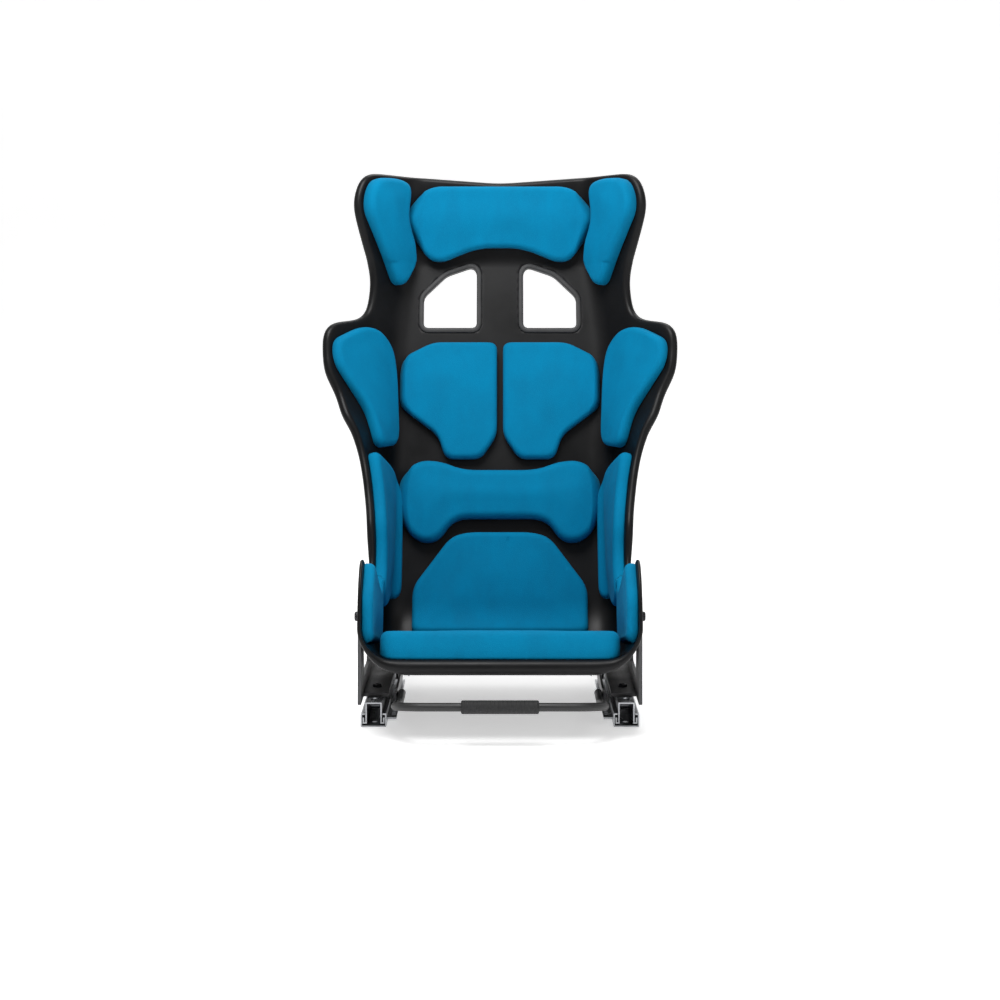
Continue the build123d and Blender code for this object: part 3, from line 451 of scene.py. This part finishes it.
class Finish:
    """A procedural material: node helpers round one Principled shader."""

    def __init__(self, name, **inputs):
        self.made = bpy.data.materials.new(name)
        self.made.use_nodes = True
        self.nodes, self.links = self.made.node_tree.nodes, self.made.node_tree.links
        self.shader = self.nodes["Principled BSDF"]
        for key, value in inputs.items():
            self.shader.inputs[key.replace("_", " ")].default_value = value
        self.place = self.nodes.new("ShaderNodeTexCoord").outputs["Object"]

    def node(self, kind, links=None, **settings):
        made = self.nodes.new("ShaderNode" + kind)
        for key, value in settings.items():
            if key in made.inputs:
                made.inputs[key].default_value = value
            else:
                setattr(made, key, value)
        for key, source in (links or {}).items():
            self.links.new(source, made.inputs[key])
        return made

    def noise(self, scale, detail=3.0, stretch=None, roughness=0.5):
        place = self.place
        if stretch:
            place = self.node("Mapping", {"Vector": place}, Scale=stretch).outputs["Vector"]
        made = self.node("TexNoise", {"Vector": place}, Scale=scale, Detail=detail, Roughness=roughness)
        return made.outputs["Fac"]

    def ramp(self, source, low, high, start=0.0, end=1.0):
        """Maps start..end of a value to low..high."""
        return self.node(
            "MapRange", {"Value": source},
            **{"From Min": start, "From Max": end, "To Min": low, "To Max": high},
        ).outputs["Result"]

    def mix(self, factor, one, two):
        made = self.nodes.new("ShaderNodeMix")
        made.data_type = "RGBA"
        self.links.new(factor, made.inputs["Factor"])
        for key, value in (("A", one), ("B", two)):
            socket = [i for i in made.inputs if i.name == key and i.type == "RGBA"][0]
            if isinstance(value, tuple):
                socket.default_value = value
            else:
                self.links.new(value, socket)
        return [o for o in made.outputs if o.type == "RGBA"][0]

    def bump(self, *layers):
        """Stacks heights, each with its strength and depth in metres."""
        last = None
        for height, strength, depth in layers:
            made = self.node("Bump", {"Height": height}, Strength=strength, Distance=depth)
            if last:
                self.links.new(last, made.inputs["Normal"])
            last = made.outputs["Normal"]
        self.links.new(last, self.shader.inputs["Normal"])

    def set(self, key, source):
        self.links.new(source, self.shader.inputs[key])


def fabric_finish():
    """Brushed microfibre: soft nap, fine fibres, broad shade changes."""
    made = Finish("microfibre", Roughness=0.88, Sheen_Weight=0.05, Sheen_Roughness=0.4)
    made.shader.inputs["Sheen Tint"].default_value = srgb(120, 205, 245)
    made.shader.inputs["Specular IOR Level"].default_value = 0.07
    nap = made.noise(34, 4, (1, 1, 0.45))
    patch = made.noise(9, 2)
    fibre = made.noise(1500, 2, (1, 1, 0.35))
    grain = made.node("TexVoronoi", {"Vector": made.place}, Scale=820.0).outputs["Distance"]
    tone = made.mix(made.ramp(nap, 0, 1, 0.3, 0.72), srgb(0, 107, 146), srgb(0, 115, 156))
    tone = made.mix(made.ramp(patch, 0, 0.18, 0.35, 0.7), tone, srgb(0, 101, 140))
    tone = made.mix(made.ramp(fibre, 0, 0.35, 0.45, 0.75), tone, srgb(12, 133, 174))
    made.set("Base Color", tone)
    made.set("Roughness", made.ramp(nap, 0.74, 0.92))
    made.bump((fibre, 0.35, 0.0006), (grain, 0.3, 0.0005), (nap, 0.12, 0.0015))
    return made.made


def shell_finish():
    """Satin black moulding with a fine grain, and a painted highlight: lighter grey along its convex edges
    and rolled rim.
    """
    made = Finish("shell_moulding", Roughness=0.38)
    made.shader.inputs["Specular IOR Level"].default_value = 0.17
    grain = made.noise(760, 3)
    waves = made.noise(16, 3)
    # edge masks a painted highlight: convex edges and the rolled rim are painted lighter grey
    edge = made.ramp(made.nodes.new("ShaderNodeNewGeometry").outputs["Pointiness"], 0, 0.5, 0.53, 0.6)
    tone = made.mix(made.ramp(waves, 0, 1, 0.3, 0.7), srgb(12, 12, 13), srgb(18, 18, 19))
    # Mixes in the painted highlight's lighter grey where the edge mask is high
    tone = made.mix(edge, tone, srgb(46, 46, 47))
    made.set("Base Color", tone)
    made.set("Roughness", made.ramp(waves, 0.32, 0.46, 0.3, 0.7))
    made.bump((grain, 0.14, 0.0004), (waves, 0.05, 0.004))
    return made.made


def trim_finish():
    """Matt textured trim plastic."""
    made = Finish("trim_plastic", Roughness=0.55)
    pits = made.node("TexVoronoi", {"Vector": made.place}, Scale=900.0).outputs["Distance"]
    tone = made.mix(made.ramp(made.noise(40), 0, 1, 0.35, 0.65), srgb(24, 24, 25), srgb(34, 34, 35))
    made.set("Base Color", tone)
    made.set("Roughness", made.ramp(made.noise(120), 0.48, 0.62))
    made.bump((pits, 0.3, 0.0005))
    return made.made


def coat_finish(name, dark, light, roughness, peel, metal=0.0):
    """Painted or blackened metal: orange peel, tone changes and bare rubbed edges."""
    made = Finish(name, Roughness=roughness, Metallic=metal)
    grain = made.noise(peel, 2)
    smear = made.noise(22, 4)
    edge = made.ramp(made.nodes.new("ShaderNodeNewGeometry").outputs["Pointiness"], 0, 0.7, 0.54, 0.62)
    tone = made.mix(made.ramp(smear, 0, 1, 0.35, 0.65), dark, light)
    made.set("Base Color", made.mix(edge, tone, srgb(92, 92, 94)))
    made.set("Roughness", made.ramp(smear, roughness - 0.08, roughness + 0.1, 0.3, 0.7))
    made.bump((grain, 0.25, 0.0004))
    return made.made


def plated_finish(name, dark, light, roughness):
    """Plated or bare steel with drawing lines and cloudy patches."""
    made = Finish(name, Metallic=1.0, Roughness=roughness)
    lines = made.noise(260, 3, (1, 0.03, 1))
    cloud = made.noise(70, 4)
    made.set("Base Color", made.mix(made.ramp(cloud, 0, 1, 0.35, 0.65), dark, light))
    made.set("Roughness", made.ramp(cloud, roughness - 0.08, roughness + 0.12, 0.3, 0.7))
    made.bump((lines, 0.12, 0.0003))
    return made.made


def nylon_finish():
    """Off-white nylon that lets a little light in."""
    made = Finish("nylon", Roughness=0.5, Subsurface_Weight=0.1)
    made.shader.inputs["Subsurface Radius"].default_value = (0.002, 0.002, 0.002)
    cloud = made.ramp(made.noise(90), 0, 1, 0.3, 0.7)
    made.set("Base Color", made.mix(cloud, srgb(208, 204, 192), srgb(224, 221, 211)))
    made.bump((made.noise(600), 0.1, 0.0003))
    return made.made


def rubber_finish():
    """Ribbed rubber sleeve."""
    made = Finish("grip_rubber", Roughness=0.72)
    ribs = made.node(
        "TexWave", {"Vector": made.place}, Scale=52.0, Distortion=0.0, bands_direction="X",
    ).outputs["Fac"]
    cloud = made.ramp(made.noise(150), 0, 1, 0.3, 0.7)
    made.set("Base Color", made.mix(cloud, srgb(20, 20, 21), srgb(30, 30, 31)))
    made.set("Roughness", made.ramp(made.noise(300), 0.64, 0.8))
    made.bump((ribs, 0.7, 0.0012), (made.noise(900), 0.2, 0.0003))
    return made.made


FINISHES = {
    "shell": shell_finish(),
    "blue_fabric": fabric_finish(),
    "trim_plastic": trim_finish(),
    "black_coat": coat_finish("powder_coat", srgb(22, 22, 23), srgb(31, 31, 32), 0.5, 620),
    "black_steel": coat_finish("black_oxide", srgb(30, 30, 32), srgb(46, 46, 49), 0.38, 900, 0.85),
    "zinc_steel": plated_finish("zinc_plate", srgb(150, 152, 155), srgb(183, 185, 188), 0.32),
    "spring_steel": plated_finish("spring_wire", srgb(96, 97, 100), srgb(134, 135, 138), 0.28),
    "nylon": nylon_finish(),
    "grip_rubber": rubber_finish(),
}


# ---- Meshes ----
def piece(name, points, faces, slot, stands_for):
    """New visual piece in the finish of a slot, riding on the carriage in place of its CAD node."""
    mesh = bpy.data.meshes.new(name)
    mesh.from_pydata((points * MM).tolist(), [], [list(map(int, face)) for face in faces])
    mesh.validate()
    made = bpy.data.objects.new(name, mesh)
    scene.collection.objects.link(made)
    mesh.materials.append(FINISHES[slot])
    mesh.polygons.foreach_set("use_smooth", [True] * len(mesh.polygons))
    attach(made, "carriage")
    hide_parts(stands_for)
    return made


def strip(count, first, second):
    """Faces between two rings of as many points, the first one the inner."""
    nxt = (np.arange(count) + 1) % count
    return [(first + j, first + i, second + i, second + j) for i, j in zip(range(count), nxt)]


def applied(made):
    """Puts the result of the piece's modifiers into its mesh."""
    graph = bpy.context.evaluated_depsgraph_get()
    mesh = bpy.data.meshes.new_from_object(made.evaluated_get(graph))
    made.modifiers.clear()
    made.data = mesh


def faced_out(made):
    """Turns every face of a closed piece outwards."""
    work = bmesh.new()
    work.from_mesh(made.data)
    bmesh.ops.recalc_face_normals(work, faces=work.faces)
    work.to_mesh(made.data)
    work.free()
    return made


# Corners of the openings on the right: X and Z from the front, then Y and Z from the side.
SLOT_SHOULDER = ((131, 574), (131, 626), (92, 663), (48, 678), (40, 670), (40, 574))
SLOT_LAP = ((62, 104), (62, 134), (98, 134), (98, 104))
slots = {}
for kind, corners in (("shoulder", front(*SLOT_SHOULDER)), ("lap", beside(*SLOT_LAP))):
    outline = turned_right(spread(rounded(corners, 9), spacing=3.0))
    slots[f"{kind}_slot_bezel_right"] = outline
    slots[f"{kind}_slot_bezel_left"] = turned_right(outline * (-1, 1))


HOLE_PLAY = 1.2             # between the shell's hole and the outline of its opening
SHELL_GRID, FACE_GRID, UNDER_GRID = 9.0, 8.0, 14.0
ROLL_TURN = np.radians(np.arange(15, 196, 15))


def build_shell():
    """Shell as a sheet with a rolled rim and four openings, thickened outwards."""
    holes = [moved_in(outline, -HOLE_PLAY, smooth=False)[::-1] for outline in slots.values()]
    points, faces = filled(roll_start, SHELL_GRID, holes)
    count = len(roll_start)
    base = surface(points)
    start = base[:count]
    _, _, normal = directions(roll_start)
    out = -unit(np.cross(normal, np.roll(start, -1, 0) - np.roll(start, 1, 0)))
    size = roll[:, None]
    everything, all_faces = [base], [tuple(face) for face in faces]
    last, total = 0, len(base)
    for angle in ROLL_TURN:
        ring = start + size * (np.sin(angle) * out - (1 - np.cos(angle)) * normal)
        everything.append(ring)
        all_faces += strip(count, last, total)
        last, total = total, total + count
    made = piece("seat_shell_moulding", np.vstack(everything), all_faces, "shell", "seat_shell")
    thick = made.modifiers.new("wall", "SOLIDIFY")
    thick.thickness = SHELL_WALL * MM
    thick.offset = -1
    applied(made)


def build_bezel(name, outline, lip):
    """Moulded frame of an opening: a rounded flange and a collar through the shell."""
    profile = [
        (-0.3, -7.6), (-0.3, 1.4), (0.3, 2.3), (1.2, 2.8), (lip - 1.4, 2.6), (lip - 0.4, 2.0), (lip, 0.9),
        (lip, 0.3), (2.4, 0.3), (2.4, -7.6),
    ]
    everything, faces, count = [], [], len(outline)
    for out, rise in profile:
        ring = moved_in(outline, -out, smooth=False) if out > 0 else outline
        _, _, normal = directions(ring)
        everything.append(surface(ring) + normal * rise)
    for k in range(len(profile)):
        faces += strip(count, k * count, (k + 1) % len(profile) * count)
    faced_out(piece(name + "_moulding", np.vstack(everything), faces, "trim_plastic", name))


def eased_step(t):
    """A soft step from 0 to 1."""
    t = np.clip(t, 0, 1)
    return t * t * (3 - 2 * t)


GAP = 0.6                   # between a cover's underside and the shell
TUCK = 1.6                  # the cover turns in this far under a pad's edge
FOOT_HEIGHT = 0.3           # the cover's lowest ring, as a share of its edge radius
EDGE_TURN = np.radians(np.arange(0, 91, 15))
PAN_UP = unit(np.array((0, slope_sin, slope_cos)))


def build_pad(name, outline, thickness, edge, crown, top=None, lift=None):
    """Padded cover over foam: upright sides, a rounded edge and a crowned face, at top's height if given."""
    ring = outline
    count = len(ring)
    rings, heights = [ring], [np.full(count, FOOT_HEIGHT * edge)]

    def height_of(places):
        return top(places) if top else np.full(len(places), float(thickness))

    done = 0.0
    for turn in EDGE_TURN:
        inset = edge * (1 - math.cos(turn))
        ring = moved_in(ring, inset - done) if inset > done else ring
        done = inset
        rings.append(ring)
        heights.append(height_of(ring) - edge * (1 - math.sin(turn)))
    places, faces = filled(ring, FACE_GRID)
    inner = places[count:]
    distance = nearest(surface(inner), surface(ring)) if len(inner) else np.zeros(0)
    swell = crown * eased_step(distance / max(distance.max() * 0.9, 1))
    under = moved_in(outline, TUCK, smooth=False)
    under_places, under_faces = filled(under, UNDER_GRID)

    def raised(at, height):
        _, _, normal = directions(at)
        return surface(at) + (lift if lift is not None else normal) * height[:, None]

    everything = [raised(r, h) for r, h in zip(rings, heights)]
    last = (len(rings) - 1) * count
    all_faces = []
    for k in range(len(rings) - 1):
        all_faces += strip(count, (k + 1) * count, k * count)
    total = len(rings) * count
    index = np.r_[np.arange(count) + last, np.arange(len(inner)) + total]
    all_faces += [tuple(index[face]) for face in faces]
    everything.append(raised(inner, height_of(inner) + swell))
    total += len(inner)
    everything.append(raised(under_places, np.full(len(under_places), GAP)))
    all_faces += strip(count, 0, total)
    all_faces += [tuple((face + total)[::-1]) for face in under_faces]
    faced_out(piece(name + "_cover", np.vstack(everything), all_faces, "blue_fabric", name))


def both_sides(name, places, radius, easing, **sizes):
    """A pad on each side, from the right one's outline. One that is eased is kept off the roll first."""
    outline = spread(rounded(places, radius))
    if easing:
        outline = eased(spread(clamped(outline)), easing)
    outline = turned_right(outline)
    build_pad(name + "_right", outline, **sizes)
    build_pad(name + "_left", turned_right(outline * (-1, 1)), **sizes)


SHOULDER_LIP, LAP_LIP = 8.5, 5.0
for name, outline in slots.items():
    build_bezel(name, outline, SHOULDER_LIP if "shoulder" in name else LAP_LIP)
build_shell()

build_pad("head_pad", turned_right(spread(rounded(mirrored(front(
    (125, 817), (170, 762), (114, 680), (38, 711))), 26))), thickness=27, edge=10, crown=4)
build_pad("lumbar_pad", turned_right(spread(rounded(mirrored(front(
    (62, 334), (98, 348), (138, 350), (172, 320), (171, 262), (138, 219), (102, 219), (76, 257),
)), 26))), thickness=31, edge=12, crown=4)
build_pad("lower_back_pad", turned_right(spread(rounded(mirrored(front(
    (54, 235), (82, 227), (144, 148), (144, 72))), 18))), thickness=23, edge=9, crown=4)
both_sides("head_side_pad", front(
    (163, 822), (224, 838), (240, 790), (184, 638), (144, 680), (171, 760),
), 18, 6, thickness=26, edge=11, crown=3)
both_sides("shoulder_pad", front(
    (210, 571), (236, 579), (281, 557), (276, 522), (224, 436), (208, 380), (178, 380), (181, 476),
    (190, 538),
), 18, 6, thickness=19, edge=9, crown=3)
both_sides("upper_back_pad", front(
    (5, 546), (114, 546), (166, 520), (171, 496), (171, 442), (105, 393), (91, 354), (32, 354), (5, 393),
), 14, 0, thickness=23, edge=8, crown=3)

# A bolster's front edge is past the rim here, and both_sides brings it back to the roll. Its ends there lie
# further up along the shell than the corners behind them.
PAST_RIM, TIP_RISE, HEEL_RISE = 330.0, 14, 20
bolster_foot, bolster_waist, bolster_tip = front((165, 130), (166, 300), (192, 345))
bolster_low = beside((-16, 244), (-28, 166), (6, 144), (108, 143))
both_sides("side_bolster_pad", [
    bolster_foot, bolster_waist, bolster_tip, np.array((PAST_RIM, bolster_tip[1] + TIP_RISE)),
    np.array((PAST_RIM, bolster_low[0][1] + HEEL_RISE)), *bolster_low,
], 14, 10, thickness=19, edge=9, crown=3)
both_sides("thigh_pad", beside(
    (-276, 139), (-270, 206), (-214, 252), (-27, 244), (-46, 92),
), 16, 6, thickness=16.5, edge=8, crown=2)

CUSHION_HALF, CUSHION_TOP, CUSHION_BACK_RISE = 173.0, 40.5, 8.0
CUSHION_NOSE_Y, CUSHION_TAIL_Y = -283.0, 60
middle_line = surface(np.stack([np.zeros_like(TABLE[0]), TABLE[0]], -1))
tail = np.argmax(middle_line[:, 1] > CUSHION_TAIL_Y)
v_nose = np.interp(CUSHION_NOSE_Y, middle_line[:tail, 1], TABLE[0][:tail])
v_tail = TABLE[0][tail]


def cushion_top(places):
    """Height of the cushion's flat face over the surface."""
    points = surface(places)
    over_pan = (points - (0, LIP_Y, LIP_Z)) @ PAN_UP
    rise = CUSHION_BACK_RISE * eased_step((points[:, 1] - pan_end_y) / 60)
    return CUSHION_TOP + rise - over_pan


build_pad("seat_cushion", turned_right(spread(rounded([
    (CUSHION_HALF, v_nose), (CUSHION_HALF, v_tail), (-CUSHION_HALF, v_tail), (-CUSHION_HALF, v_nose),
], 26))), thickness=CUSHION_TOP, edge=12, crown=5, top=cushion_top, lift=PAN_UP)

# ---- CAD nodes that stay: a slight bevel on their edges and a better finish ----
node_slots = {part["node"]: part["material_slot"] for part in frame["record"]["subparts"]}
EDGE_BEVEL = 0.0005         # metres
for name, node in frame["nodes"].items():
    if node.hide_render:
        continue
    node.data.materials.clear()
    node.data.materials.append(FINISHES[node_slots[name]])
    if name not in ("latch_springs", "release_bar"):
        bevel = node.modifiers.new("edges", "BEVEL")
        bevel.width = EDGE_BEVEL
        bevel.segments = 2
        bevel.limit_method = "ANGLE"
        bevel.angle_limit = math.radians(40)

# ---- Stage, light and camera ----
# The paper lies flat under the seat and sweeps up behind it. Sizes are in metres.
SWEEP_Y, SWEEP_RADIUS, SWEEP_HALF = 3.0, 2.5, 14.0
bend = np.linspace(0, math.pi / 2, 25)
profile = [(-8.0, 0.0), *zip(SWEEP_Y + SWEEP_RADIUS * np.sin(bend), SWEEP_RADIUS * (1 - np.cos(bend))),
           (SWEEP_Y + SWEEP_RADIUS, 12.0)]
floor_mesh = bpy.data.meshes.new("floor")
floor_mesh.from_pydata(
    [(side * SWEEP_HALF, float(y), float(z)) for y, z in profile for side in (-1, 1)], [],
    [(2 * k, 2 * k + 1, 2 * k + 3, 2 * k + 2) for k in range(len(profile) - 1)],
)
floor_mesh.polygons.foreach_set("use_smooth", [True] * len(floor_mesh.polygons))
floor = bpy.data.objects.new("floor", floor_mesh)
scene.collection.objects.link(floor)
paper = Finish("paper", Roughness=0.9)
cloud = paper.ramp(paper.noise(3), 0, 1, 0.3, 0.7)
paper.set("Base Color", paper.mix(cloud, (0.86, 0.86, 0.86, 1), (0.88, 0.88, 0.88, 1)))
paper.shader.inputs["Emission Color"].default_value = (1, 1, 1, 1)
paper.shader.inputs["Emission Strength"].default_value = 0.5
floor_mesh.materials.append(paper.made)

world = bpy.data.worlds.new("studio")
scene.world = world
world.use_nodes = True
world.node_tree.nodes["Background"].inputs["Color"].default_value = (1, 1, 1, 1)
world.node_tree.nodes["Background"].inputs["Strength"].default_value = 0.34


def area_light(name, place, target, size, power):
    """Round soft light, aimed at a point: size in metres, power in watts."""
    lamp = bpy.data.lights.new(name, "AREA")
    lamp.shape = "DISK"
    lamp.size = size
    lamp.energy = power
    made = bpy.data.objects.new(name, lamp)
    made.location = place
    made.rotation_euler = (Vector(target) - Vector(place)).to_track_quat("-Z", "Y").to_euler()
    scene.collection.objects.link(made)


area_light("key", (-0.25, -0.75, 2.05), (0, 0.15, 0.5), 1.1, 40)
area_light("fill", (1.6, -1.8, 1.2), (0, 0, 0.5), 1.6, 6)
area_light("crown", (0.3, 1.1, 2.4), (0, 0.2, 0.6), 1.4, 16)

camera_data = bpy.data.cameras.new("camera")
camera_data.sensor_width = 36
camera_data.lens = 67.3
camera_data.shift_y = -0.225
camera_data.clip_end = 60
camera = bpy.data.objects.new("camera", camera_data)
camera.location = (0, -2.94, 0.665)
camera.rotation_euler = (math.pi / 2, 0, 0)
scene.collection.objects.link(camera)
scene.camera = camera
scene.view_settings.view_transform = "Standard"
